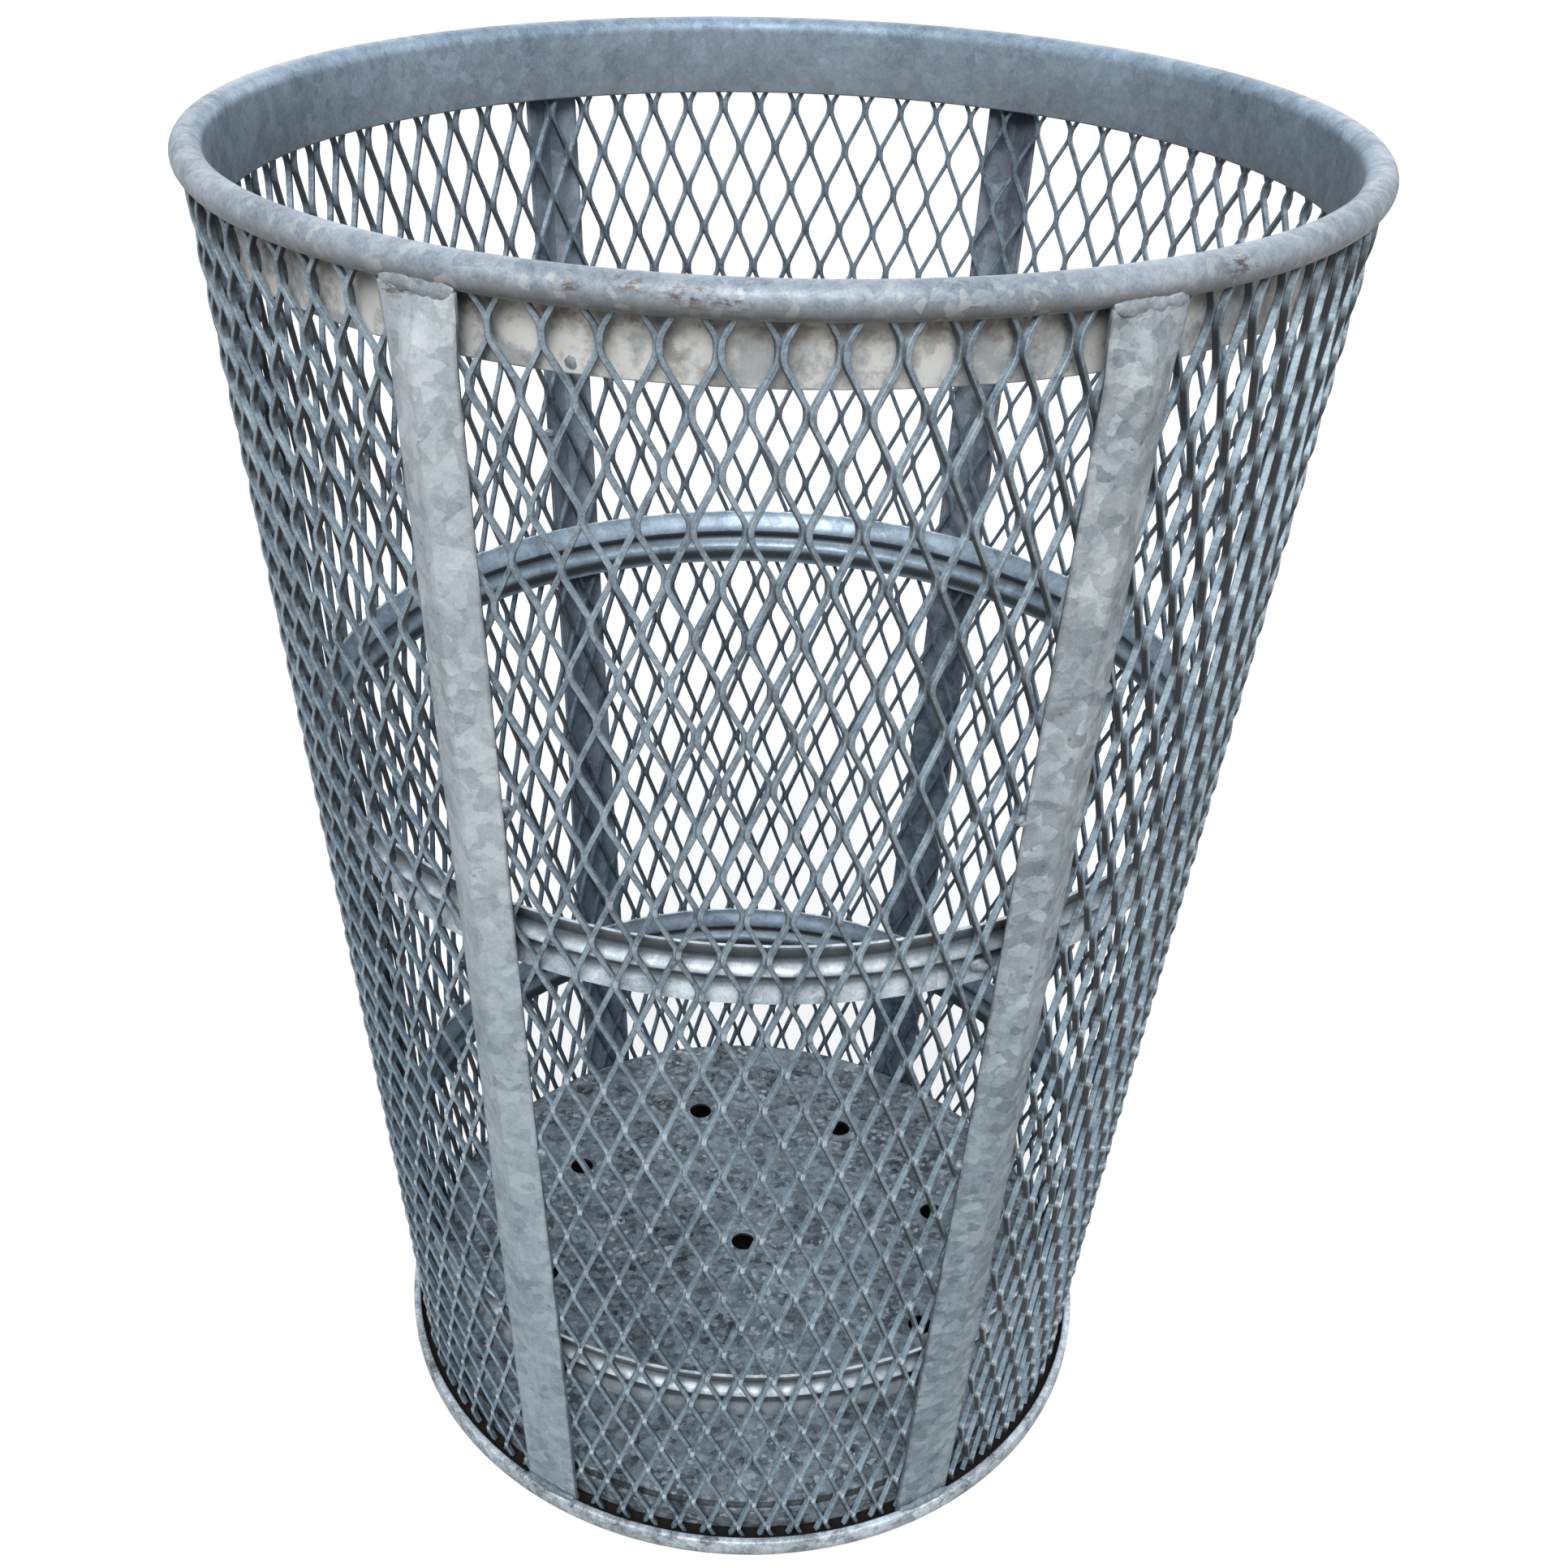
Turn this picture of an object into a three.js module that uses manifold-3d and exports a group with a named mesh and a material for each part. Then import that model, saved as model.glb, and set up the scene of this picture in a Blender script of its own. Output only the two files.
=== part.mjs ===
// A tapered litter basket of welded, galvanised steel, in millimetres, standing on z = 0.
// An azimuth is measured from the front (-Y) towards +X.
import * as THREE from "three";
import { mergeGeometries, mergeVertices } from "three/addons/utils/BufferGeometryUtils.js";
import Module from "manifold-3d";

const wasm = await Module();
wasm.setup();

// Overall size
const HEIGHT = 842;
const RIM_RADIUS = 305;
const RING_RADIUS = 248;

// Rim collar: a rolled bead above a plain band
const BEAD = 16;
const COLLAR_DEPTH = 45;
const COLLAR_SHEET = 2.2;
const CURL_START = 180;
const CURL_END = -120;
const CURL_STEPS = 10;

// Base ring: a flat bar on edge
const RING_THICKNESS = 5;
const RING_HEIGHT = 12.7;

// Expanded-metal wall
const MESH_THICKNESS = 7;
const MESH_FOOT = 4;
const MESH_STRAND = 5;
const MESH_COLUMNS = 4;
const MESH_ROWS = 5;

// Folded ribs
const RIB_COUNT = 6;
const RIB_WIDTH = 38;
const RIB_SHEET = 2.5;
const RIB_FOLD = 9.5;
const RIB_TOP_FOLD = 2;
const RIB_FOOT = 1;
const RIB_FLAT_FOOT = 24;
const RIB_FULL_FOLD = 420;
const RIB_TOP_FADE = 30;
const RIB_CREST = 0.15;
const RIB_STEPS = 18;

// Pressed hoops: a section goes down and inwards by shares of its height and its press
const HOOP_SHEET = 2;
const HOOP_TOPS = { upper_hoop: 510, lower_hoop: 168 };
const HOOP_HEIGHT = 38;
const HOOP_PRESS = 5;
const HOOP_SECTION = [
  { down: 0, inward: 0 },
  { down: 0.32, inward: 1 },
  { down: 0.5, inward: 0 },
  { down: 0.66, inward: 0.9 },
  { down: 1, inward: 0.1 },
];

// Bottom pan with drain holes
const PLATE_TOP = 32;
const PLATE_SHEET = 2.5;
const PLATE_SKIRT = 24;
const PLATE_BEND = 4;
const HOLE_DIAMETER = 17.5;
const HOLE_SIDES = 16;
const HOLE_CIRCLE = 150;
const HOLE_COUNT = 8;
const HOLE_START = 15;

// Welds
const RIM_WELD_WIDTH = 34;
const RIM_WELD_OUT = 1.5;
const RIM_WELD_ROOM = 2;
const RIM_WELD_TOP = -20;
const RIM_WELD_ARCS = 3;
const BASE_WELD_LEG = 4.5;
const WELD_STEPS = 4;

// Fit and smoothness
const CLEARANCE = 0.3;
const SIDES = 48;

const degrees = THREE.MathUtils.degToRad;
const smoothstep = THREE.MathUtils.smoothstep;

// The corners of a turned opening lie outside its nominal radius, so that its flat sides keep that radius.
const openingRadius = (radius) => radius / Math.cos(Math.PI / SIDES);

// The wall is a cone between the base ring's top and the collar's lower edge.
const ringInner = RING_RADIUS - RING_THICKNESS;
const beadCentre = { r: RIM_RADIUS - BEAD / 2, z: HEIGHT - BEAD / 2 };
const collarOuter = RIM_RADIUS - BEAD + COLLAR_SHEET;
const collarFoot = HEIGHT - COLLAR_DEPTH;
const wallLow = ringInner - RIB_SHEET - 2 * CLEARANCE;
const wallHigh = collarOuter + CLEARANCE + MESH_THICKNESS;
const wallSlope = (wallHigh - wallLow) / (collarFoot - RING_HEIGHT);
const wallOuter = (z) => wallLow + (z - RING_HEIGHT) * wallSlope;
const wallInner = (z) => wallOuter(z) - MESH_THICKNESS;
const meshTop = HEIGHT - BEAD - CLEARANCE;
const ribTop = meshTop - RIM_WELD_ROOM;

const galvanised = (color) => new THREE.MeshStandardMaterial({ color, roughness: 0.5, metalness: 0.8 });
const LOOKS = {
  collar: galvanised(0xa4aeb8),
  mesh: galvanised(0x97a3a6),
  rib: galvanised(0xa6abab),
  hoop: galvanised(0xa2b2bc),
  plate: galvanised(0x667078),
  ring: galvanised(0xb4c1c8),
  weld: galvanised(0x8f9696),
};

const basket = new THREE.Group();

function addPiece(name, geometry, material, azimuth = 0) {
  const mesh = new THREE.Mesh(geometry, material);
  mesh.name = name;
  mesh.rotation.z = degrees(azimuth);
  basket.add(mesh);
}

// Bends a straight geometry round the axis: place turns a corner into its azimuth, radius and height.
function wrap(geometry, place) {
  const corners = geometry.attributes.position;
  for (let i = 0; i < corners.count; i++) {
    const { azimuth, r, z } = place(corners.getX(i), corners.getY(i), corners.getZ(i));
    corners.setXYZ(i, r * Math.sin(azimuth), -r * Math.cos(azimuth), z);
  }
  return geometry;
}

// A ring turned round the axis from a closed section of [radius, height] points.
function turned(section) {
  const points = section.map(([r, z]) => new THREE.Vector2(r, z));
  if (points[0].x > 0) points.push(points[0].clone());
  return new THREE.LatheGeometry(points, SIDES).rotateX(Math.PI / 2);
}

function positionsOnly(geometry) {
  geometry.deleteAttribute("normal");
  geometry.deleteAttribute("uv");
  return mergeVertices(geometry, 1e-4);
}

function solidOf(geometry) {
  const merged = positionsOnly(geometry);
  return new wasm.Manifold(
    new wasm.Mesh({
      numProp: 3,
      vertProperties: merged.attributes.position.array,
      triVerts: new Uint32Array(merged.index.array),
    }),
  );
}

function geometryOf(solid) {
  const mesh = solid.getMesh();
  const geometry = new THREE.BufferGeometry();
  geometry.setAttribute("position", new THREE.BufferAttribute(mesh.vertProperties, 3));
  geometry.setIndex(new THREE.BufferAttribute(mesh.triVerts, 1));
  geometry.computeVertexNormals();
  return geometry;
}

// Points of the bead's round section at a radius about its centre, from one angle to another.
function beadArc(radius, from, to, steps) {
  return Array.from({ length: steps + 1 }, (_, i) => {
    const angle = degrees(from + ((to - from) * i) / steps);
    return [beadCentre.r + radius * Math.cos(angle), beadCentre.z + radius * Math.sin(angle)];
  });
}

// Rim collar: the band goes up, curls outwards over the bead and stops before it closes.
function rimCollar() {
  const outside = beadArc(BEAD / 2, CURL_START, CURL_END, CURL_STEPS);
  const inside = beadArc(BEAD / 2 - COLLAR_SHEET, CURL_END, CURL_START, CURL_STEPS);
  const band = [
    [collarOuter, collarFoot],
    [collarOuter - COLLAR_SHEET, collarFoot],
  ];
  return turned([...band, ...outside, ...inside].reverse());
}

// One side of a mesh strip, bottom to top: the half diamonds that stand on the line at x.
function diamondSide(x, into, first, halfColumn, halfRow) {
  const inset = (MESH_STRAND / 2) * (Math.hypot(halfColumn, halfRow) / (halfColumn * halfRow));
  const scale = 1 - inset;
  const height = 2 * MESH_ROWS * halfRow;
  const points = first === 0 ? [] : [[x, 0]];
  for (let y = first * halfRow; y <= height + halfRow / 2; y += 2 * halfRow) {
    if (y > halfRow / 2) points.push([x, y - scale * halfRow]);
    points.push([x + into * scale * halfColumn, y]);
    if (y < height - halfRow / 2) points.push([x, y + scale * halfRow]);
  }
  if (first !== 0) points.push([x, height]);
  return points;
}

// Mesh panel: upright strips half a column wide, joined where two strips share a knuckle.
function meshPanel() {
  const halfColumn = (wallOuter(HEIGHT / 2) * degrees(360 / RIB_COUNT)) / (2 * MESH_COLUMNS);
  const halfRow = (meshTop - MESH_FOOT) / (2 * MESH_ROWS);
  const stripCount = 2 * MESH_COLUMNS;
  const span = degrees(360 / RIB_COUNT) - CLEARANCE / wallInner(0);
  const strips = Array.from({ length: stripCount }, (_, i) => {
    const left = diamondSide(i * halfColumn, 1, i % 2, halfColumn, halfRow);
    const right = diamondSide((i + 1) * halfColumn, -1, (i + 1) % 2, halfColumn, halfRow);
    const outline = [...right, ...left.reverse()].map(([x, y]) => new THREE.Vector2(x, y));
    return new THREE.ExtrudeGeometry(new THREE.Shape(outline), {
      depth: MESH_THICKNESS,
      bevelEnabled: false,
    });
  });
  const joined = positionsOnly(mergeGeometries(strips));
  joined.setIndex(withoutJointFaces(joined, halfColumn, stripCount));
  return wrap(joined, (x, y, depth) => ({
    azimuth: (x / (stripCount * halfColumn) - 0.5) * span,
    r: wallInner(MESH_FOOT + y) + depth,
    z: MESH_FOOT + y,
  }));
}

// Faces on the line between two neighbouring strips are inside the metal, so they are left out.
function withoutJointFaces(geometry, stripWidth, stripCount) {
  const corners = geometry.attributes.position;
  const kept = [];
  for (let i = 0; i < geometry.index.count; i += 3) {
    const face = [0, 1, 2].map((n) => geometry.index.getX(i + n));
    const lines = face.map((corner) => corners.getX(corner) / stripWidth);
    const line = Math.round(lines[0]);
    const onLine = lines.every((value) => Math.abs(value - line) < 1e-4);
    if (!onLine || line === 0 || line === stripCount) kept.push(...face);
  }
  return kept;
}

// How far a rib's crest stands out at a height: flat at the foot, folded above, softer at its top end.
function foldAt(z) {
  const rising = RIB_FOLD * smoothstep(z, RIB_FLAT_FOOT, RIB_FULL_FOLD);
  const fading = smoothstep(z, ribTop - RIB_TOP_FADE, ribTop);
  return THREE.MathUtils.lerp(rising, RIB_TOP_FOLD, fading);
}

const ribOuter = (z) => wallOuter(z) + CLEARANCE + RIB_SHEET;

// Rib: a strip of constant width, so its two edges draw in as its fold rises.
function rib() {
  const across = [-1, -RIB_CREST, RIB_CREST, 1];
  const outline = [
    ...across.map((u) => new THREE.Vector2(1, u)),
    ...across.toReversed().map((u) => new THREE.Vector2(0, u)),
  ];
  const strip = new THREE.ExtrudeGeometry(new THREE.Shape(outline), {
    depth: 1,
    steps: RIB_STEPS,
    bevelEnabled: false,
  });
  return wrap(strip, (skin, u, along) => {
    const z = RIB_FOOT + along * (ribTop - RIB_FOOT);
    const fold = foldAt(z);
    const halfChord = Math.sqrt((RIB_WIDTH / 2) ** 2 - fold ** 2);
    const crest = Math.min(1, (1 - Math.abs(u)) / (1 - RIB_CREST));
    const r = wallOuter(z) + CLEARANCE + fold * crest + skin * RIB_SHEET;
    return { azimuth: (u * halfChord) / wallOuter(z), r, z };
  });
}

// Hoop: a sheet pressed to a bead between two flared lips, following the wall's taper.
function hoop(top) {
  const face = (skin) =>
    HOOP_SECTION.map(({ down, inward }) => {
      const z = top - down * HOOP_HEIGHT;
      return [wallInner(z) - CLEARANCE - inward * HOOP_PRESS - skin, z];
    });
  return turned([...face(0), ...face(HOOP_SHEET).reverse()].reverse());
}

// Bottom plate: a pan turned upside down, with drain holes.
function bottomPlate() {
  const side = (z) => wallInner(z) - CLEARANCE;
  const foot = PLATE_TOP - PLATE_SKIRT;
  const pan = turned([
    [0, PLATE_TOP - PLATE_SHEET],
    [side(PLATE_TOP) - PLATE_SHEET - PLATE_BEND / 2, PLATE_TOP - PLATE_SHEET],
    [side(PLATE_TOP - PLATE_BEND) - PLATE_SHEET, PLATE_TOP - PLATE_BEND - PLATE_SHEET / 2],
    [side(foot) - PLATE_SHEET, foot],
    [side(foot), foot],
    [side(PLATE_TOP - PLATE_BEND), PLATE_TOP - PLATE_BEND],
    [side(PLATE_TOP) - PLATE_BEND, PLATE_TOP],
    [0, PLATE_TOP],
  ]);
  let solid = solidOf(pan);
  const places = [[0, 0]];
  for (let i = 0; i < HOLE_COUNT; i++) {
    const angle = degrees(HOLE_START + (360 / HOLE_COUNT) * i);
    places.push([HOLE_CIRCLE * Math.cos(angle), HOLE_CIRCLE * Math.sin(angle)]);
  }
  const holeRadius = HOLE_DIAMETER / 2;
  for (const [x, y] of places) {
    const drill = new THREE.CylinderGeometry(holeRadius, holeRadius, 4 * PLATE_SHEET, HOLE_SIDES);
    solid = solid.subtract(solidOf(drill.rotateX(Math.PI / 2).translate(x, y, PLATE_TOP)));
  }
  return geometryOf(solid);
}

function baseRing() {
  return turned([
    [openingRadius(ringInner), 0],
    [RING_RADIUS, 0],
    [RING_RADIUS, RING_HEIGHT],
    [openingRadius(ringInner), RING_HEIGHT],
  ]);
}

// A weld run: a section of [radius, height] points carried round the wall over a width at a given radius.
function weldRun(section, width, radius) {
  const outline = section.map(([r, z]) => new THREE.Vector2(r, z));
  const run = new THREE.ExtrudeGeometry(new THREE.Shape(outline), {
    depth: width,
    steps: WELD_STEPS,
    bevelEnabled: false,
  });
  return wrap(run, (r, z, along) => ({ azimuth: (width / 2 - along) / radius, r, z }));
}

// Rim weld: fills the corner between a rib's top end and the bead's underside.
function rimWeld() {
  const foot = ribTop + CLEARANCE;
  const inner = wallOuter(foot) + CLEARANCE;
  const outer = ribOuter(ribTop) + RIM_WELD_OUT;
  const hug = BEAD / 2 + CLEARANCE;
  const innerAngle = -THREE.MathUtils.radToDeg(Math.acos((inner - beadCentre.r) / hug));
  const against = beadArc(hug, RIM_WELD_TOP, innerAngle, RIM_WELD_ARCS);
  const belly = [outer + RIM_WELD_OUT, foot + RIM_WELD_ROOM];
  return weldRun([[inner, foot], [outer, foot], belly, ...against], RIM_WELD_WIDTH, inner);
}

// Base weld: a fillet on the ring's top against a rib's flat foot.
function baseWeld() {
  const foot = RING_HEIGHT + CLEARANCE;
  const head = foot + BASE_WELD_LEG;
  const face = (z) => ribOuter(z) + CLEARANCE;
  const section = [
    [face(foot), foot],
    [face(foot) + BASE_WELD_LEG, foot],
    [face(head) + BASE_WELD_LEG / 4, head],
    [face(head), head],
  ];
  return weldRun(section, RIB_WIDTH, RING_RADIUS);
}

addPiece("rim_collar", rimCollar(), LOOKS.collar);
for (let i = 0; i < RIB_COUNT; i++) {
  const turn = (360 / RIB_COUNT) * i;
  const ribTurn = turn + 180 / RIB_COUNT;
  addPiece(`mesh_panel_${i + 1}`, meshPanel(), LOOKS.mesh, turn);
  addPiece(`rib_${i + 1}`, rib(), LOOKS.rib, ribTurn);
  addPiece(`rim_weld_${i + 1}`, rimWeld(), LOOKS.weld, ribTurn);
  addPiece(`base_weld_${i + 1}`, baseWeld(), LOOKS.weld, ribTurn);
}
for (const [name, top] of Object.entries(HOOP_TOPS)) addPiece(name, hoop(top), LOOKS.hoop);
addPiece("bottom_plate", bottomPlate(), LOOKS.plate);
addPiece("base_ring", baseRing(), LOOKS.ring);

export default basket;
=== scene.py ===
# %% [markdown]
# A galvanised litter basket
#
# The basket is a tapered tube of expanded metal. A rolled collar stiffens its mouth, six folded ribs run
# down its outside, two pressed hoops and a drained plate sit inside, and it stands on a flat bar ring.
# The solids already hold every piece at its real size. This lesson gives each its fine shape and finish.

# %% Load the frame
import math

import bmesh
import bpy
from mathutils import Matrix, Vector, noise


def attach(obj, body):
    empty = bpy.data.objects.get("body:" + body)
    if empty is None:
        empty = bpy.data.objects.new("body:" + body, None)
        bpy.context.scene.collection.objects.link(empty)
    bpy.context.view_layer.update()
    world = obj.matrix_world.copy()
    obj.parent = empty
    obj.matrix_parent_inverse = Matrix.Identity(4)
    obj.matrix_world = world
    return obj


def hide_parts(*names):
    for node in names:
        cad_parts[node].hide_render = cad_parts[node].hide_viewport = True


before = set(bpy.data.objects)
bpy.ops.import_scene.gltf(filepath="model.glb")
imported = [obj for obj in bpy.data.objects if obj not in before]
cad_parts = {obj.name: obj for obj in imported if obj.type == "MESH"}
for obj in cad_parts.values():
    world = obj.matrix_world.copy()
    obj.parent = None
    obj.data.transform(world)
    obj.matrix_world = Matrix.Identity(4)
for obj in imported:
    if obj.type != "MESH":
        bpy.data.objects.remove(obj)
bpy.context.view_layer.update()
print("solids:", len(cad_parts))

# %% [markdown]
# Sizes that several pieces share
#
# The wall is a cone, so most pieces only need its radius at a height. Two heights with known radii fix it:
# the top of the base ring and the lower edge of the collar. The basket's sizes are written in millimetres,
# and one factor turns them into Blender's metres where a point is placed.

# %% Shared sizes
MM = 0.001
HEIGHT = 842.0
RIM_RADIUS = 305.0
BEAD = 16.0
COLLAR_DEPTH = 45.0
COLLAR_SHEET = 2.2
RING_RADIUS = 248.0
RING_THICKNESS = 5.0
RING_HEIGHT = 12.7
WALL = 7.0
CLEARANCE = 0.3
RIB_SHEET = 2.5
RIB_COUNT = 6
HOOP_TOPS = {"upper_hoop": 510.0, "lower_hoop": 168.0}
BOND_PITCH = 25.73
FIRST_BOND = 813.4
PLATE_TOP = 32.0
PLATE_SHEET = 2.5

bead_foot = HEIGHT - BEAD
collar_outer = RIM_RADIUS - BEAD + COLLAR_SHEET
collar_foot = HEIGHT - COLLAR_DEPTH
ring_inner = RING_RADIUS - RING_THICKNESS
wall_low = ring_inner - RIB_SHEET - 2 * CLEARANCE
wall_high = collar_outer + CLEARANCE + WALL
wall_slope = (wall_high - wall_low) / (collar_foot - RING_HEIGHT)


def wall_outer(z):
    """The wall's outer radius at a height."""
    return wall_low + (z - RING_HEIGHT) * wall_slope


def wall_inner(z):
    """The wall's inner radius at a height."""
    return wall_outer(z) - WALL


def at(azimuth, radius, height):
    """A point by its azimuth from the front, in radians, and its radius and height in millimetres."""
    return Vector((radius * math.sin(azimuth), -radius * math.cos(azimuth), height)) * MM


print("wall radius at the foot and the top:", round(wall_outer(0), 1), round(wall_outer(HEIGHT), 1))

# %% [markdown]
# Camera
#
# The picture was taken from a little above the rim and close to it, so the basket narrows strongly towards
# the floor. The camera stands on the front side, about a metre from the axis, and looks down.

# %% Camera
LENS = 41.34
SENSOR = 36.0
SHIFT = (0.03685, 0.03178)
CAMERA_PLACE = Vector((0.0, -0.9764, 1.0353))
CAMERA_RIGHT = Vector((0.99927, 0.03298, 0.01931))
CAMERA_UP = Vector((-0.03417, 0.54464, 0.83796))

camera_data = bpy.data.cameras.new("camera")
camera_data.sensor_width = SENSOR
camera_data.lens = LENS
camera_data.shift_x, camera_data.shift_y = SHIFT
camera = bpy.data.objects.new("camera", camera_data)
bpy.context.scene.collection.objects.link(camera)
camera_axes = Matrix((CAMERA_RIGHT, CAMERA_UP, CAMERA_RIGHT.cross(CAMERA_UP))).transposed()
camera.matrix_world = Matrix.Translation(CAMERA_PLACE) @ camera_axes.to_4x4()
bpy.context.scene.camera = camera
print("camera at", tuple(camera.location))

# %% [markdown]
# Shader expressions
#
# A finish is a short sum of patterns. Wrapping a socket in a small class lets the sum be written as plain
# Python, and each operator adds the Math node that it stands for.


# %% Shader values
class Value:
    """A node's output socket, with operators that add Math nodes."""

    def __init__(self, tree, socket):
        self.tree = tree
        self.socket = socket

    def node(self, kind, settings, inputs, output=0):
        """Adds a node with these settings and inputs, and gives one of its outputs."""
        made = self.tree.nodes.new(kind)
        for key, setting in settings.items():
            setattr(made, key, setting)
        for key, item in inputs.items():
            if isinstance(item, Value):
                self.tree.links.new(item.socket, made.inputs[key])
            else:
                made.inputs[key].default_value = item
        return Value(self.tree, made.outputs[output])

    def math(self, operation, first, second, clamp=False):
        settings = {"operation": operation, "use_clamp": clamp}
        return self.node("ShaderNodeMath", settings, {0: first, 1: second})

    def __add__(self, other):
        return self.math("ADD", self, other)

    __radd__ = __add__

    def __sub__(self, other):
        return self.math("SUBTRACT", self, other)

    def __rsub__(self, other):
        return self.math("SUBTRACT", other, self)

    def __mul__(self, other):
        return self.math("MULTIPLY", self, other)

    __rmul__ = __mul__

    def between(self, low, high):
        """0 below low, 1 above high, and smooth in between; low may be the larger one."""
        inputs = {"Value": self, "From Min": low, "From Max": high}
        return self.node("ShaderNodeMapRange", {"interpolation_type": "SMOOTHSTEP"}, inputs)

    def noise(self, scale, detail, roughness):
        inputs = {"Vector": self, "Scale": scale, "Detail": detail, "Roughness": roughness}
        return self.node("ShaderNodeTexNoise", {}, inputs, "Fac")

    def part(self, axis):
        return self.node("ShaderNodeSeparateXYZ", {}, {0: self}, axis)

    def stretched(self, scale):
        return self.node("ShaderNodeMapping", {}, {"Vector": self, "Scale": scale})

    def flattened(self):
        """The place on the floor straight below a place."""
        return self.stretched((1.0, 1.0, 0.0))

    def from_axis(self):
        """How far a place lies from the basket's axis."""
        settings = {"operation": "LENGTH"}
        return self.node("ShaderNodeVectorMath", settings, {0: self.flattened()}, "Value")

    def near(self, point, reach):
        """1 at a point, falling to 0 at this distance from it."""
        settings = {"operation": "DISTANCE"}
        apart = self.node("ShaderNodeVectorMath", settings, {0: self, 1: point}, "Value")
        return apart.between(reach, 0.0)

    def tint(self, low, high):
        """The colour low where the value is 0 and high where it is 1."""
        return self.node("ShaderNodeMix", {"data_type": "RGBA"}, {0: self, 6: low, 7: high}, 2)

    def shade(self, colour, tone):
        """The colour where the value is 0, and the colour times the tone where it is 1."""
        settings = {"data_type": "RGBA", "blend_type": "MULTIPLY"}
        return self.node("ShaderNodeMix", settings, {0: self, 6: colour, 7: tone}, 2)


def start_material(name):
    """A new material, its surface shader and the place on the object that its patterns read."""
    material = bpy.data.materials.new(name)
    material.use_nodes = True
    tree = material.node_tree
    surface = tree.nodes["Principled BSDF"]
    coordinates = tree.nodes.new("ShaderNodeTexCoord")
    return material, surface, Value(tree, coordinates.outputs["Object"])


def feed(surface, **sockets):
    """Links each value to the shader's socket of that name, with spaces for underscores."""
    for name, value in sockets.items():
        value.tree.links.new(value.socket, surface.inputs[name.replace("_", " ")])


print("steps of a shader value:", [name for name in vars(Value) if not name.startswith("_")])

# %% [markdown]
# Galvanised steel
#
# Dipped zinc freezes into flat crystals a few millimetres to a few centimetres wide, each a slightly
# different grey, and weather dulls it in soft clouds. Cells of a Voronoi texture, read through a little
# noise so that their edges fray, give the crystals, and two sizes of cell keep them from looking regular.

# %% Zinc crystals
MIDDLE_TONE = 0.5
FRAY = 0.55
FRINGE_FINENESS = 1.3
FRINGE_DETAIL = 5.0
FRINGE_ROUGHNESS = 0.7
LARGE_CRYSTAL = 2.7
SMALL_SHARE = 0.6
LARGE_SHARE = 0.4
CLOUD_NOISE = (11.0, 4.0, 0.6)
CLOUD_SHARE = 1.3
FLECK_NOISE = (210.0, 4.0, 0.75)
FLECK_SHARE = 1.3
GRAIN_NOISE = (800.0, 2.0, 0.6)
GRAIN_SHARE = 0.9


def crystals(place, size):
    """A random grey for each zinc crystal of about the given size in millimetres."""
    cells_per_metre = 1 / (size * MM)
    fringe_inputs = {
        "Vector": place,
        "Scale": FRINGE_FINENESS * cells_per_metre,
        "Detail": FRINGE_DETAIL,
        "Roughness": FRINGE_ROUGHNESS,
    }
    fringe = place.node("ShaderNodeTexNoise", {}, fringe_inputs, "Color")
    shift_inputs = {0: fringe, "Scale": FRAY * size * MM}
    shift = place.node("ShaderNodeVectorMath", {"operation": "SCALE"}, shift_inputs)
    frayed = place.node("ShaderNodeVectorMath", {"operation": "ADD"}, {0: place, 1: shift})
    cell_inputs = {"Vector": frayed, "Scale": cells_per_metre}
    return place.node("ShaderNodeTexVoronoi", {}, cell_inputs, "Color").part("X")


def zinc_tone(place, crystal, spangle, mottle):
    """How light the zinc is at a place: its crystals, its clouds and its grain, about the middle tone."""
    small = crystals(place, crystal) - MIDDLE_TONE
    large = crystals(place, LARGE_CRYSTAL * crystal) - MIDDLE_TONE
    clouds = place.noise(*CLOUD_NOISE) - MIDDLE_TONE
    flecks = place.noise(*FLECK_NOISE) - MIDDLE_TONE
    grain = place.noise(*GRAIN_NOISE) - MIDDLE_TONE
    spangled = spangle * (SMALL_SHARE * small + LARGE_SHARE * large)
    mottled = mottle * (CLOUD_SHARE * clouds + FLECK_SHARE * flecks + GRAIN_SHARE * grain)
    return MIDDLE_TONE + spangled + mottled


print("crystal edges fray by", FRAY, "of their size")

# %% [markdown]
# Weather
#
# Years outdoors leave no steel one grey, and rubbing opens the zinc. Many of the marks below are painted
# shade and painted light, which darken or lighten a face by its height and by which way it looks. Each mark
# is a function that takes a colour and gives it back with the mark laid over it, so that a finish can list
# its marks in order. Most marks depend on the height of a face and on which way it looks: up or down, out of
# the basket or into it. In the names below, COVER is the most that a mark covers, NOISE is the scale, detail
# and roughness of a pattern, and FACING, HEIGHTS and PATCHES are pairs that say where a mark starts and
# where it is full.


# %% Where a face is and which way it looks
def rising(place, low, high):
    """0 below the height low and 1 above the height high, in millimetres; low may be the higher one."""
    return place.part("Z").between(low * MM, high * MM)


def looking(place, axis):
    """How far the surface looks along an axis, from -1 to 1."""
    return place.node("ShaderNodeNewGeometry", {}, {}, "Normal").part(axis)


def looking_out(place):
    """How far the surface looks away from the basket's axis, from -1 to 1."""
    heading = place.node("ShaderNodeVectorMath", {"operation": "NORMALIZE"}, {0: place.flattened()})
    return looking(place, "X") * heading.part("X") + looking(place, "Y") * heading.part("Y")


print("marks read:", [helper.__name__ for helper in (rising, looking, looking_out)])
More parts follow.
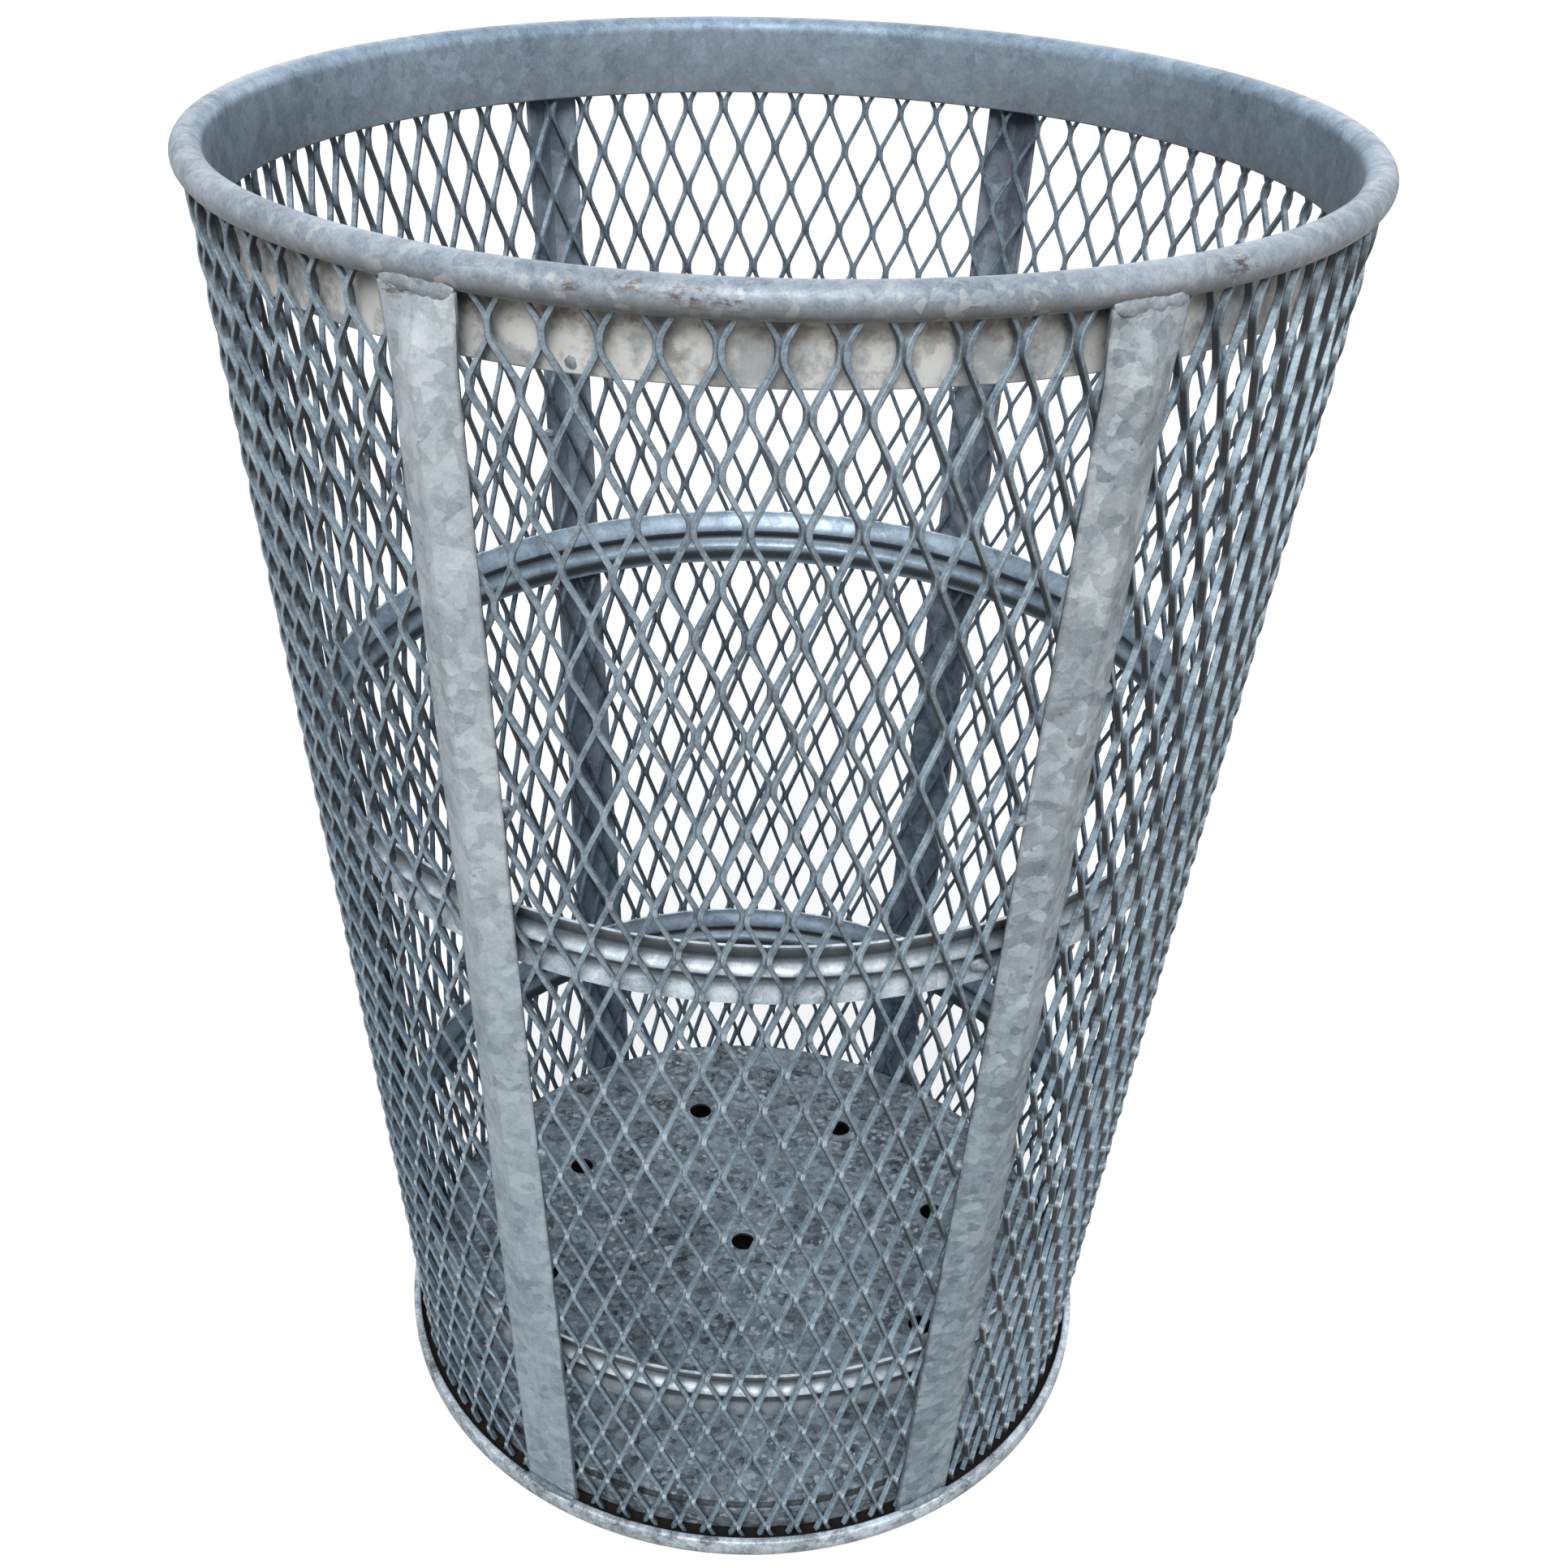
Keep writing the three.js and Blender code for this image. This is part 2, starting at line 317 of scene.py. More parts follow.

# %% [markdown]
# Painted shade on undersides and sides
#
# Painted shade darkens the faces that look down, the strands' sides and, in patches, the rim's undersides.
# A band of the surface's own direction picks those faces, and it is soft enough that no hard line shows on a
# rounded edge.

# %% Painted shade on undersides and sides
# Painted shade: these colours darken the faces that look down, the strands' sides and the rim's undersides.
DARK_SHADE = (0.054, 0.056, 0.056, 1.0)
DOWNWARD_SHADE_COVER = 0.85
DOWNWARD_SHADE_FACING = (0.05, -0.4)
SIDE_SHADE = (0.072, 0.078, 0.080, 1.0)
SIDE_COVER = 0.5
SIDE_FACING_OUT = (0.8, 0.5)
SIDE_FACING_IN = (-0.7, -0.4)
SIDE_FACING_UP = (0.35, 0.1)
# Painted shade on the rim's undersides, in patches.
UNDERSIDE_SHADE = (0.20, 0.19, 0.175, 1.0)
UNDERSIDE_SHADE_THIN = 0.35
UNDERSIDE_SHADE_PATCHY = 0.5
UNDERSIDE_SHADE_FACING = (0.35, -0.5)
UNDERSIDE_SHADE_NOISE = (70.0, 4.0, 0.65)
UNDERSIDE_SHADE_PATCHES = (0.3, 0.65)


def downward_shade(place, colour):
    """Painted shade on faces that look down."""
    return (DOWNWARD_SHADE_COVER * looking(place, "Z").between(*DOWNWARD_SHADE_FACING)).tint(colour, DARK_SHADE)


def side_shade(place, colour):
    """Painted shade on the strands' sides."""
    outwards = looking_out(place)
    side = outwards.between(*SIDE_FACING_OUT) * outwards.between(*SIDE_FACING_IN)
    level = looking(place, "Z").between(*SIDE_FACING_UP)
    return (SIDE_COVER * side * level).tint(colour, SIDE_SHADE)


def underside_shade(place, colour):
    """Painted shade on faces that look down, thin all over and thicker in patches."""
    patches = place.noise(*UNDERSIDE_SHADE_NOISE).between(*UNDERSIDE_SHADE_PATCHES)
    cover = UNDERSIDE_SHADE_THIN + UNDERSIDE_SHADE_PATCHY * patches
    return (looking(place, "Z").between(*UNDERSIDE_SHADE_FACING) * cover).tint(colour, UNDERSIDE_SHADE)


# The dark cover printed here is painted shade.
print("dark dirt covers up to", DOWNWARD_SHADE_COVER)

# %% [markdown]
# Painted shade in hollows and holes
#
# Painted shade darkens the hoops' pressed hollows, the walls of the drain holes and the ribs' folds and
# edges, and the lower hoop's lip gets painted shade and dirt. The hoops' hollows and the holes lie at known
# heights, and the ribs carry an attribute that says how far a point lies from the crease.

# %% Painted shade in hollows and holes
# Painted shade in the hoops' hollows, with dirt on the lower hoop's lip.
HOOP_SHADE_AND_DIRT = (0.042, 0.056, 0.068, 1.0)
HOLLOW_COVER = 0.75
HOLLOW_CORE = 1.0
HOLLOW_REACH = 6.0
# Depths below a hoop's upper edge.
HOOP_OUTER_HOLLOWS = (12.0, 25.0)
HOOP_INNER_HOLLOWS = (18.5, 32.0)
HOOP_FACING_OUT = (-0.15, 0.15)
LIP_COVER = 0.7
LIP_HEIGHTS = (146.0, 138.0)
# Painted shade, black, on the walls of the drain holes.
HOLE_SHADE = (0.01, 0.01, 0.01, 1.0)
HOLE_SHADE_COVER = 0.9
# Depths below the plate's upper and lower face.
HOLE_UPPER_EDGE = (0.1, 0.6)
HOLE_LOWER_EDGE = (1.2, 0.2)
# Painted shade along the ribs' creases and edges.
CREASE_COVER = 0.15
CREASE = (0.06, 0.0)
STRIP_EDGE_COVER = 0.6
STRIP_EDGE = (0.9, 1.0)
FOLD_NOISE = (45.0, 4.0, 0.65)
FOLD_PATCHES = (0.3, 0.65)


def hoop_shade_and_dirt(place, colour):
    """Painted shade in the hollows of a hoop's two faces, and painted shade with dirt on the lower hoop's
    lip.
    """
    outer = looking_out(place).between(*HOOP_FACING_OUT)
    shade_and_dirt = LIP_COVER * rising(place, *LIP_HEIGHTS)
    for face, hollows in ((outer, HOOP_OUTER_HOLLOWS), (1 - outer, HOOP_INNER_HOLLOWS)):
        for top in HOOP_TOPS.values():
            for depth in hollows:
                level = top - depth
                below = rising(place, level - HOLLOW_REACH, level - HOLLOW_CORE)
                above = rising(place, level + HOLLOW_REACH, level + HOLLOW_CORE)
                shade_and_dirt = shade_and_dirt + HOLLOW_COVER * face * below * above
    return shade_and_dirt.tint(colour, HOOP_SHADE_AND_DIRT)


def hole_shade(place, colour):
    """Painted shade: black on the walls of the drain holes."""
    upper = rising(place, *(PLATE_TOP - depth for depth in HOLE_UPPER_EDGE))
    lower = rising(place, *(PLATE_TOP - PLATE_SHEET - depth for depth in HOLE_LOWER_EDGE))
    return (HOLE_SHADE_COVER * upper * lower).tint(colour, HOLE_SHADE)


def fold_shade(place, colour):
    """Painted shade along a rib's crease and its two edges, in patches."""
    across = place.node("ShaderNodeAttribute", {"attribute_name": "across"}, {}, "Fac")
    patches = place.noise(*FOLD_NOISE).between(*FOLD_PATCHES)
    lines = CREASE_COVER * across.between(*CREASE) + STRIP_EDGE_COVER * across.between(*STRIP_EDGE)
    return (lines * patches).tint(colour, DARK_SHADE)


print("hollows on a hoop:", len(HOOP_OUTER_HOLLOWS) + len(HOOP_INNER_HOLLOWS))

# %% [markdown]
# Dust on the collar
#
# The outside of the collar's band sits behind the mesh and under the bead, where hands and rain seldom come.
# Tan dust has dried on it in blotches, with brown stains where water creeps out from the curl. The band has
# the same radius all round, so the distance from the axis tells its outer face from its inner one.

# %% Dust on the collar
TAN = (0.78, 0.77, 0.73, 1.0)
TAN_THIN = 0.32
TAN_PATCHY = 0.58
TAN_NOISE = (34.0, 5.0, 0.65)
TAN_PATCHES = (0.42, 0.56)
STAIN = (0.16, 0.115, 0.075, 1.0)
STAIN_UNDER_BEAD = 0.45
STAIN_PATCHY = 0.38
STAIN_NOISE = (75.0, 5.0, 0.7)
STAIN_PATCHES = (0.5, 0.62)
# Shares of the sheet, from its outer face inwards.
BAND_SKIN = (0.7, 0.3)
# Depths below the bead.
BAND_TOP = (-3.0, 2.0)
STAIN_DEPTHS = (14.0, 1.0)


def collar_dirt(place, colour):
    """Tan dust on the outside of the collar's band, with brown stains under the bead."""
    skin = [(collar_outer - share * COLLAR_SHEET) * MM for share in BAND_SKIN]
    below_bead = rising(place, *(bead_foot - depth for depth in BAND_TOP))
    band = place.from_axis().between(*skin) * below_bead
    blotches = place.noise(*TAN_NOISE).between(*TAN_PATCHES)
    dusty = (band * (TAN_THIN + TAN_PATCHY * blotches)).tint(colour, TAN)
    stains = place.noise(*STAIN_NOISE).between(*STAIN_PATCHES)
    creeping = rising(place, *(bead_foot - depth for depth in STAIN_DEPTHS))
    return (band * (STAIN_UNDER_BEAD * creeping + STAIN_PATCHY * stains)).tint(dusty, STAIN)


print("band of dust:", round(bead_foot - collar_foot, 1), "mm high")

# %% [markdown]
# Painted shade and light that keep the crystals
#
# Other marks don't hide the crystals, they only change their tone, so these colours are multiplied. Painted
# shade darkens the lower basket towards the ground, makes faces that look inwards darker and bluer, and
# darkens the lower half of those faces more still. Painted light makes the collar's inward faces paler
# where they look towards +X, and the ribs have duller crystals towards +X.

# %% Painted shade and light that keep the crystals
# Painted shade: these tones darken the lower basket, the inward faces and the lower inward faces.
LOW_SHADE = (0.58, 0.65, 0.69, 1.0)
LOW_SHADE_MESH = (0.78, 0.84, 0.87, 1.0)
LOW_SHADE_HEIGHTS = (780.0, 120.0)
INNER_SHADE = (0.80, 0.92, 1.0, 1.0)
INNER_SHADE_MESH = (0.50, 0.53, 0.57, 1.0)
INNER_SHADE_RIB = (0.44, 0.47, 0.53, 1.0)
INNER_SHADE_HOOP = (0.50, 0.57, 0.64, 1.0)
INSIDE_FACING = (-0.1, -0.6)
DEEP_SHADE = (0.62, 0.64, 0.66, 1.0)
DEEP_FACING = (0.1, -0.4)
DEEP_MESH = (780.0, 550.0)
DEEP_HOOP = (450.0, 200.0)
# Painted light: this tone brightens the collar's inward faces that look towards +X.
RIGHT_LIGHT = (1.5, 1.45, 1.42, 1.0)
RIGHT_LIGHT_FACING_IN = (-0.5, -0.9)
RIGHT_LIGHT_FACING_RIGHT = (0.1, 0.9)
# Duller crystals towards +X.
RIGHT_SIDE_TONE = (0.56, 0.57, 0.58, 1.0)
RIGHT_SIDE_START = -100.0
RIGHT_SIDE_FULL = 100.0
RIGHT_SIDE_CRYSTAL = 7.0


def low_shade(tone):
    """Painted shade that darkens the lower basket, more towards the ground."""

    def mark(place, colour):
        return rising(place, *LOW_SHADE_HEIGHTS).shade(colour, tone)

    return mark


def inner_shade(tone):
    """Painted shade, darker and bluer, on faces that look in towards the axis."""

    def mark(place, colour):
        return looking_out(place).between(*INSIDE_FACING).shade(colour, tone)

    return mark


def deep_shade(start, full):
    """Painted shade on the inward faces of the lower basket: its start and where it is full."""

    def mark(place, colour):
        low = rising(place, start, full) * looking_out(place).between(*DEEP_FACING)
        return low.shade(colour, DEEP_SHADE)

    return mark


def right_light(place, colour):
    """Painted light: paler zinc on the collar's inward faces that look towards +X."""
    inner = looking_out(place).between(*RIGHT_LIGHT_FACING_IN)
    return (inner * looking(place, "X").between(*RIGHT_LIGHT_FACING_RIGHT)).shade(colour, RIGHT_LIGHT)


def duller_right_side(place, colour):
    """Duller crystals, darker towards +X."""
    towards_right = place.part("X").between(RIGHT_SIDE_START * MM, RIGHT_SIDE_FULL * MM)
    return (towards_right * crystals(place, RIGHT_SIDE_CRYSTAL)).shade(colour, RIGHT_SIDE_TONE)


# This is the top of the painted shade low down.
print("splashes reach up to", LOW_SHADE_HEIGHTS[0], "mm")

# %% [markdown]
# Bright zinc and painted highlights
#
# Where the zinc lay thick or was rubbed, it is paler: at the strands' bonds, in loose groups of crystals, in
# upright runs on the ribs and in scuffs on the bead. At the bonds a painted highlight on the faces that look
# out is laid in with the paler zinc, clearest low down. The bonds lie at even heights, so a cosine of the
# height finds them all.

# %% Bright zinc and painted highlights
# The bond colour is paler zinc with a painted highlight.
BOND_PALE_AND_HIGHLIGHT = (0.66, 0.76, 0.82, 1.0)
SHINE_COVER = 0.75
SHINE_LIFT = 1.5
SHINE_SPOT = (0.75, 0.98)
SHINE_NOISE = (60.0, 3.0, 0.6)
SHINE_PATCHES = (0.3, 0.6)
SHINE_FACING_OUT = (0.0, 0.5)
SHINE_HEIGHTS = (750.0, 300.0)
PALE = (0.64, 0.67, 0.68, 1.0)
RUN_COVER = 0.35
RUN_STRETCH = (1.0, 1.0, 0.07)
RUN_NOISE = (150.0, 3.0, 0.6)
RUN_STREAKS = (0.5, 0.75)
FLAKE = (0.42, 0.47, 0.51, 1.0)
FLAKE_COVER = 0.75
FLAKE_CRYSTALS = (0.8, 0.95)
FLAKE_NOISE = (28.0, 3.0, 0.6)
FLAKE_GROUPS = (0.38, 0.6)
RIB_FLAKE = 6.0
PLATE_FLAKE = 3.5
SCUFF = (0.47, 0.48, 0.46, 1.0)
SCUFF_COVER = 0.5
SCUFF_SIZE = 4.0
SCUFF_FACING_OUT = (0.1, 0.6)


def bond_pale_and_highlight(place, colour):
    """Paler zinc and a painted highlight at the bonds, on faces that look out, clearest low down, where
    painted shade darkens the rest.
    """
    above_bond = place.part("Z") - (FIRST_BOND + SHINE_LIFT) * MM
    turn = above_bond * (math.tau / (BOND_PITCH * MM))
    bonds = turn.math("COSINE", turn, 0.0).between(*SHINE_SPOT)
    patches = place.noise(*SHINE_NOISE).between(*SHINE_PATCHES)
    facing_out_low = looking_out(place).between(*SHINE_FACING_OUT) * rising(place, *SHINE_HEIGHTS)
    return (SHINE_COVER * bonds * patches * facing_out_low).tint(colour, BOND_PALE_AND_HIGHLIGHT)


def runs(place, colour):
    """Pale upright streaks."""
    streaks = place.stretched(RUN_STRETCH).noise(*RUN_NOISE).between(*RUN_STREAKS)
    return (RUN_COVER * streaks).tint(colour, PALE)


def flake_spots(place, size):
    """1 on a few crystals of about this size in millimetres, which lie in loose groups."""
    groups = place.noise(*FLAKE_NOISE).between(*FLAKE_GROUPS)
    return crystals(place, size).between(*FLAKE_CRYSTALS) * groups


def flakes(tone, size):
    """Pale flakes, where the zinc has kept its shine."""

    def mark(place, colour):
        return (FLAKE_COVER * flake_spots(place, size)).tint(colour, tone)

    return mark


def scuffs(place, colour):
    """Pale scuffs on the bead's outer side."""
    outer = looking_out(place).between(*SCUFF_FACING_OUT)
    return (SCUFF_COVER * flake_spots(place, SCUFF_SIZE) * outer).tint(colour, SCUFF)


print("flakes on the ribs and the plate:", RIB_FLAKE, PLATE_FLAKE, "mm")

# %% [markdown]
# Pits and rust
#
# Small pits open in the ribs' zinc, and rust shows where the bead is rubbed and at a few rim welds. Each rust
# spot is listed. The pattern is stretched sideways, so that it runs along the bead in streaks.

# %% Pits and rust
PIT = (0.10, 0.10, 0.10, 1.0)
PIT_COVER = 0.55
PITS_PER_METRE = 120.0
PIT_SIZE = (0.17, 0.07)
PIT_NOISE = (24.0, 2.0, 0.5)
PIT_PATCHES = (0.48, 0.6)
RUST = (0.085, 0.045, 0.027, 1.0)
RUST_COVER = 0.85
RUST_STRETCH = (0.4, 0.4, 1.0)
RUST_NOISE = (420.0, 4.0, 0.7)
RUST_GRAINS = (0.47, 0.57)
# Azimuth in degrees, then radius, height and reach in millimetres.
RUST_SPOTS = (
    (-6.3, 304.0, 836.0, 7.0),
    (-3.0, 304.0, 834.0, 5.0),
    (-10.5, 302.0, 839.0, 5.0),
    (-15.0, 304.0, 836.0, 4.0),
    (37.7, 304.0, 837.0, 7.0),
    (71.0, 304.0, 836.0, 5.0),
    (150.0, 304.0, 836.0, 7.0),
    (-110.0, 304.0, 836.0, 5.0),
    (-31.0, 304.0, 823.0, 5.0),
    (-29.0, 304.0, 824.0, 4.0),
    (27.5, 304.0, 823.0, 4.0),
)


def pits(place, colour):
    """Small dark pits in loose patches."""
    inputs = {"Vector": place, "Scale": PITS_PER_METRE}
    spots = place.node("ShaderNodeTexVoronoi", {}, inputs, "Distance").between(*PIT_SIZE)
    patches = place.noise(*PIT_NOISE).between(*PIT_PATCHES)
    return (PIT_COVER * spots * patches).tint(colour, PIT)


def rust(place, colour):
    """Flakes of rust at a few spots."""
    wide = place.stretched(RUST_STRETCH)
    grains = wide.noise(*RUST_NOISE).between(*RUST_GRAINS)
    for azimuth, radius, z, reach in RUST_SPOTS:
        spot = at(math.radians(azimuth), radius, z) * Vector(RUST_STRETCH)
        colour = (RUST_COVER * grains * wide.near(spot, reach * MM)).tint(colour, RUST)
    return colour


print("rust spots:", len(RUST_SPOTS))

# %% [markdown]
# Finishes
#
# The same steel looks different on each piece. The ribs and the hoops are thick and bright, the plate is
# dull and mottled, and the strands are too thin for large crystals. One function makes them all. It mixes a
# dark and a light zinc by the tone of the crystals, lays the marks over that, and dents the surface a little.

# %% Finishes
GLOSS_SPREAD = 0.16
DENT_NOISE = (38.0, 2.0, 0.5)
RIPPLE_NOISE = (260.0, 3.0, 0.5)
RIPPLE_SHARE = 0.35
DENT_DEPTH = 1.2


def galvanised(name, dark, light, crystal, spangle, mottle, rough, marks, metallic=0.2, sheen=0.2, bump=0.2):
    """A zinc finish between two tones, with its crystals, its clouds and its marks."""
    material, surface, place = start_material(name)
    tone = zinc_tone(place, crystal, spangle, mottle)
    colour = tone.tint((*dark, 1.0), (*light, 1.0))
    for mark in marks:
        colour = mark(place, colour)
    roughness = rough + GLOSS_SPREAD * (MIDDLE_TONE - tone)
    dents = place.noise(*DENT_NOISE) + RIPPLE_SHARE * place.noise(*RIPPLE_NOISE)
    inputs = {"Strength": bump, "Distance": DENT_DEPTH * MM, "Height": dents}
    feed(surface, Base_Color=colour, Roughness=roughness, Normal=dents.node("ShaderNodeBump", {}, inputs))
    surface.inputs["Metallic"].default_value = metallic
    surface.inputs["Specular IOR Level"].default_value = sheen
    return material


# Most marks in these lists are painted shade and painted light. Rust, pits, flakes, runs, scuffs and the
# collar's dust and stains are the zinc's own, and the bonds get both.
mesh_zinc = galvanised(
    "mesh_zinc",
    dark=(0.042, 0.062, 0.08),
    light=(0.485, 0.59, 0.665),
    crystal=5.0,
    spangle=0.4,
    mottle=0.7,
    rough=0.5,
    marks=(low_shade(LOW_SHADE_MESH), inner_shade(INNER_SHADE_MESH), deep_shade(*DEEP_MESH), bond_pale_and_highlight, side_shade, downward_shade),
)
rib_marks = (
    runs,
    flakes(PALE, RIB_FLAKE),
    duller_right_side,
    low_shade(LOW_SHADE),
    inner_shade(INNER_SHADE_RIB),
    pits,
    fold_shade,
    rust,
)
rib_zinc = galvanised(
    "rib_zinc",
    dark=(0.185, 0.23, 0.26),
    light=(0.72, 0.77, 0.795),
    crystal=8.0,
    spangle=0.5,
    mottle=0.42,
    rough=0.55,
    marks=rib_marks,
    metallic=0.1,
)
rim_zinc = galvanised(
    "rim_zinc",
    dark=(0.09, 0.12, 0.155),
    light=(0.42, 0.465, 0.51),
    crystal=8.0,
    spangle=0.4,
    mottle=0.6,
    rough=0.5,
    marks=(inner_shade(INNER_SHADE), right_light, underside_shade, scuffs, rust, collar_dirt),
)
hoop_zinc = galvanised(
    "hoop_zinc",
    dark=(0.18, 0.22, 0.25),
    light=(0.79, 0.875, 0.94),
    crystal=9.0,
    spangle=0.5,
    mottle=0.6,
    rough=0.45,
    marks=(inner_shade(INNER_SHADE_HOOP), deep_shade(*DEEP_HOOP), hoop_shade_and_dirt, downward_shade),
    metallic=0.32,
    sheen=0.4,
)
plate_zinc = galvanised(
    "plate_zinc",
    dark=(0.024, 0.030, 0.036),
    light=(0.25, 0.302, 0.345),
    crystal=5.0,
    spangle=0.95,
    mottle=0.65,
    rough=0.55,
    marks=(flakes(FLAKE, PLATE_FLAKE), hole_shade, downward_shade),
)
ring_zinc = galvanised(
    "ring_zinc",
    dark=(0.07, 0.085, 0.095),
    light=(0.64, 0.72, 0.78),
    crystal=6.0,
    spangle=0.6,
    mottle=0.9,
    rough=0.5,
    marks=(downward_shade,),
)
weld_zinc = galvanised(
    "weld_zinc",
    dark=(0.12, 0.14, 0.155),
    light=(0.42, 0.46, 0.49),
    crystal=5.0,
    spangle=0.4,
    mottle=0.7,
    rough=0.5,
    marks=(low_shade(LOW_SHADE), rust),
    bump=0.4,
)
finishes = (mesh_zinc, rib_zinc, rim_zinc, hoop_zinc, plate_zinc, ring_zinc, weld_zinc)
print("finishes:", [finish.name for finish in finishes])

# %% [markdown]
# Finishing a piece
#
# Every piece ends the same way: its doubles are merged, its normals turned outwards, it is given its finish,
# and the solids that it stands for are hidden. Sharp corners stay crisp, the rest is smooth. Most round
# pieces are a section spun round the axis, and the round parts of a section are arcs.

# %% Piece helpers
CRISP = math.radians(34)
MERGE = 0.02
TURN_STEPS = 192


def finish_piece(name, bm, material, slot, *nodes):
    """Makes a piece of a bmesh, with its finish and the solids that it replaces; its slot is not used."""
    bmesh.ops.remove_doubles(bm, verts=bm.verts, dist=MERGE * MM)
    bmesh.ops.recalc_face_normals(bm, faces=bm.faces)
    for face in bm.faces:
        face.smooth = True
    for edge in bm.edges:
        edge.smooth = len(edge.link_faces) == 2 and edge.calc_face_angle() < CRISP
    mesh = bpy.data.meshes.new(name)
    bm.to_mesh(mesh)
    bm.free()
    piece = bpy.data.objects.new(name, mesh)
    bpy.context.scene.collection.objects.link(piece)
    mesh.materials.append(material)
    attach(piece, "root")
    if nodes:
        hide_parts(*nodes)
    print(name, "faces:", len(mesh.polygons))
    return piece


def turned(section, steps=TURN_STEPS, closed=True):
    """A bmesh of a section, given as (radius, height) points, spun round the axis."""
    bm = bmesh.new()
    corners = [bm.verts.new(at(0.0, radius, height)) for radius, height in section]
    for first, second in zip(corners, corners[1:]):
        bm.edges.new((first, second))
    if closed:
        bm.edges.new((corners[-1], corners[0]))
    bmesh.ops.spin(
        bm,
        geom=bm.verts[:] + bm.edges[:],
        cent=(0, 0, 0),
        axis=(0, 0, 1),
        dvec=(0, 0, 0),
        angle=math.tau,
        steps=steps,
        use_merge=True,
    )
    return bm


def arc(centre, radius, start, end, steps):
    """(radius, height) points of an arc about a (radius, height) centre, angles in degrees."""
    points = []
    for i in range(steps + 1):
        angle = math.radians(start + (end - start) * i / steps)
        points.append((centre[0] + radius * math.cos(angle), centre[1] + radius * math.sin(angle)))
    return points


print("edges stay crisp from", round(math.degrees(CRISP)), "degrees")

# %% [markdown]
# Rim collar
#
# The mouth is one strip of sheet: a plain band inside the mesh whose upper edge is rolled outwards to a
# bead. Its section is a line and an arc, so spinning that section makes the whole collar in one go.

# %% Rim collar
CURL = (180.0, -120.0)
CURL_STEPS = 24
BAND_EDGE_STEPS = 6
COLLAR_TURN_STEPS = 256

bead_centre = (RIM_RADIUS - BEAD / 2, HEIGHT - BEAD / 2)
band_edge = COLLAR_SHEET / 2
edge_centre = (collar_outer - band_edge, collar_foot + band_edge)
collar_section = arc(edge_centre, band_edge, 0, -180, BAND_EDGE_STEPS)
collar_section += arc(bead_centre, BEAD / 2, *CURL, CURL_STEPS)
collar_section += arc(bead_centre, BEAD / 2 - COLLAR_SHEET, *CURL[::-1], CURL_STEPS)
collar = turned(collar_section, COLLAR_TURN_STEPS)
finish_piece("rim_collar_sheet", collar, rim_zinc, "rim", "rim_collar")

# %% [markdown]
# Hoops
#
# Each hoop is a strip pressed to a section with a bead in the middle and a lip flared at each edge. The
# points of the section are joined by half cosine waves, so that it reads as pressed and not as folded.

# %% Hoops
HOOP_SHEET = 2.0
# Depth below the upper edge, and distance from the wall, which is negative inwards.
HOOP_SECTION = ((0.0, 0.0), (12.0, -5.0), (19.0, 0.0), (25.0, -4.5), (38.0, -0.5))
HOOP_STEPS = 6


def hoop_face(top, inward):
    """The hoop's section from its upper edge down, as (radius, height) points."""
    points = []
    for (depth, out), (next_depth, next_out) in zip(HOOP_SECTION, HOOP_SECTION[1:]):
        for i in range(HOOP_STEPS):
            share = i / HOOP_STEPS
            wave = (1 - math.cos(math.pi * share)) / 2
            z = top - depth - (next_depth - depth) * share
            points.append((wall_inner(z) - CLEARANCE + out + (next_out - out) * wave - inward, z))
    depth, out = HOOP_SECTION[-1]
    points.append((wall_inner(top - depth) - CLEARANCE + out - inward, top - depth))
    return points


for node, top in HOOP_TOPS.items():
    hoop_section = hoop_face(top, 0.0) + hoop_face(top, HOOP_SHEET)[::-1]
    finish_piece(node + "_sheet", turned(hoop_section), hoop_zinc, "hoop", node)

# %% [markdown]
# Bottom plate
#
# The bottom is a shallow pan lying upside down, with nine drain holes. A flat disc is filled between its
# rim and the hole circles, the bend and the skirt are spun on to its edge, and Solidify gives the sheet.

# %% Bottom plate
PLATE_SKIRT = 24.0
PLATE_BEND = 5.0
PLATE_BEND_STEPS = 6
HOLE_RADIUS = 8.75
HOLE_SIDES = 32
HOLE_CIRCLE = 150.0
HOLE_COUNT = 8
HOLE_START = math.radians(15)
SAME_HEIGHT = 0.001

plate_radius = wall_inner(PLATE_TOP - PLATE_BEND) - CLEARANCE
bend_centre = (plate_radius - PLATE_BEND, PLATE_TOP - PLATE_BEND)
skirt_foot = PLATE_TOP - PLATE_SKIRT
skirt_section = arc(bend_centre, PLATE_BEND, 90, 0, PLATE_BEND_STEPS)
skirt_section.append((wall_inner(skirt_foot) - CLEARANCE, skirt_foot))
plate = turned(skirt_section, closed=False)


def on_top(corner):
    return abs(corner.co.z - PLATE_TOP * MM) < SAME_HEIGHT * MM


disc_edges = [edge for edge in plate.edges if all(on_top(corner) for corner in edge.verts)]
hole_places = [(0.0, 0.0)]
for i in range(HOLE_COUNT):
    angle = HOLE_START + math.tau * i / HOLE_COUNT
    hole_places.append((HOLE_CIRCLE * math.cos(angle), HOLE_CIRCLE * math.sin(angle)))
for x, y in hole_places:
    spot = Matrix.Translation(Vector((x, y, PLATE_TOP)) * MM)
    hole = bmesh.ops.create_circle(plate, segments=HOLE_SIDES, radius=HOLE_RADIUS * MM, matrix=spot)
    disc_edges += list({edge for corner in hole["verts"] for edge in corner.link_edges})
bmesh.ops.triangle_fill(plate, use_beauty=True, use_dissolve=False, edges=disc_edges)
plate_piece = finish_piece("bottom_plate_sheet", plate, plate_zinc, "plate", "bottom_plate")
plate_sheet = plate_piece.modifiers.new("sheet", "SOLIDIFY")
plate_sheet.thickness = PLATE_SHEET * MM
plate_sheet.offset = -1.0

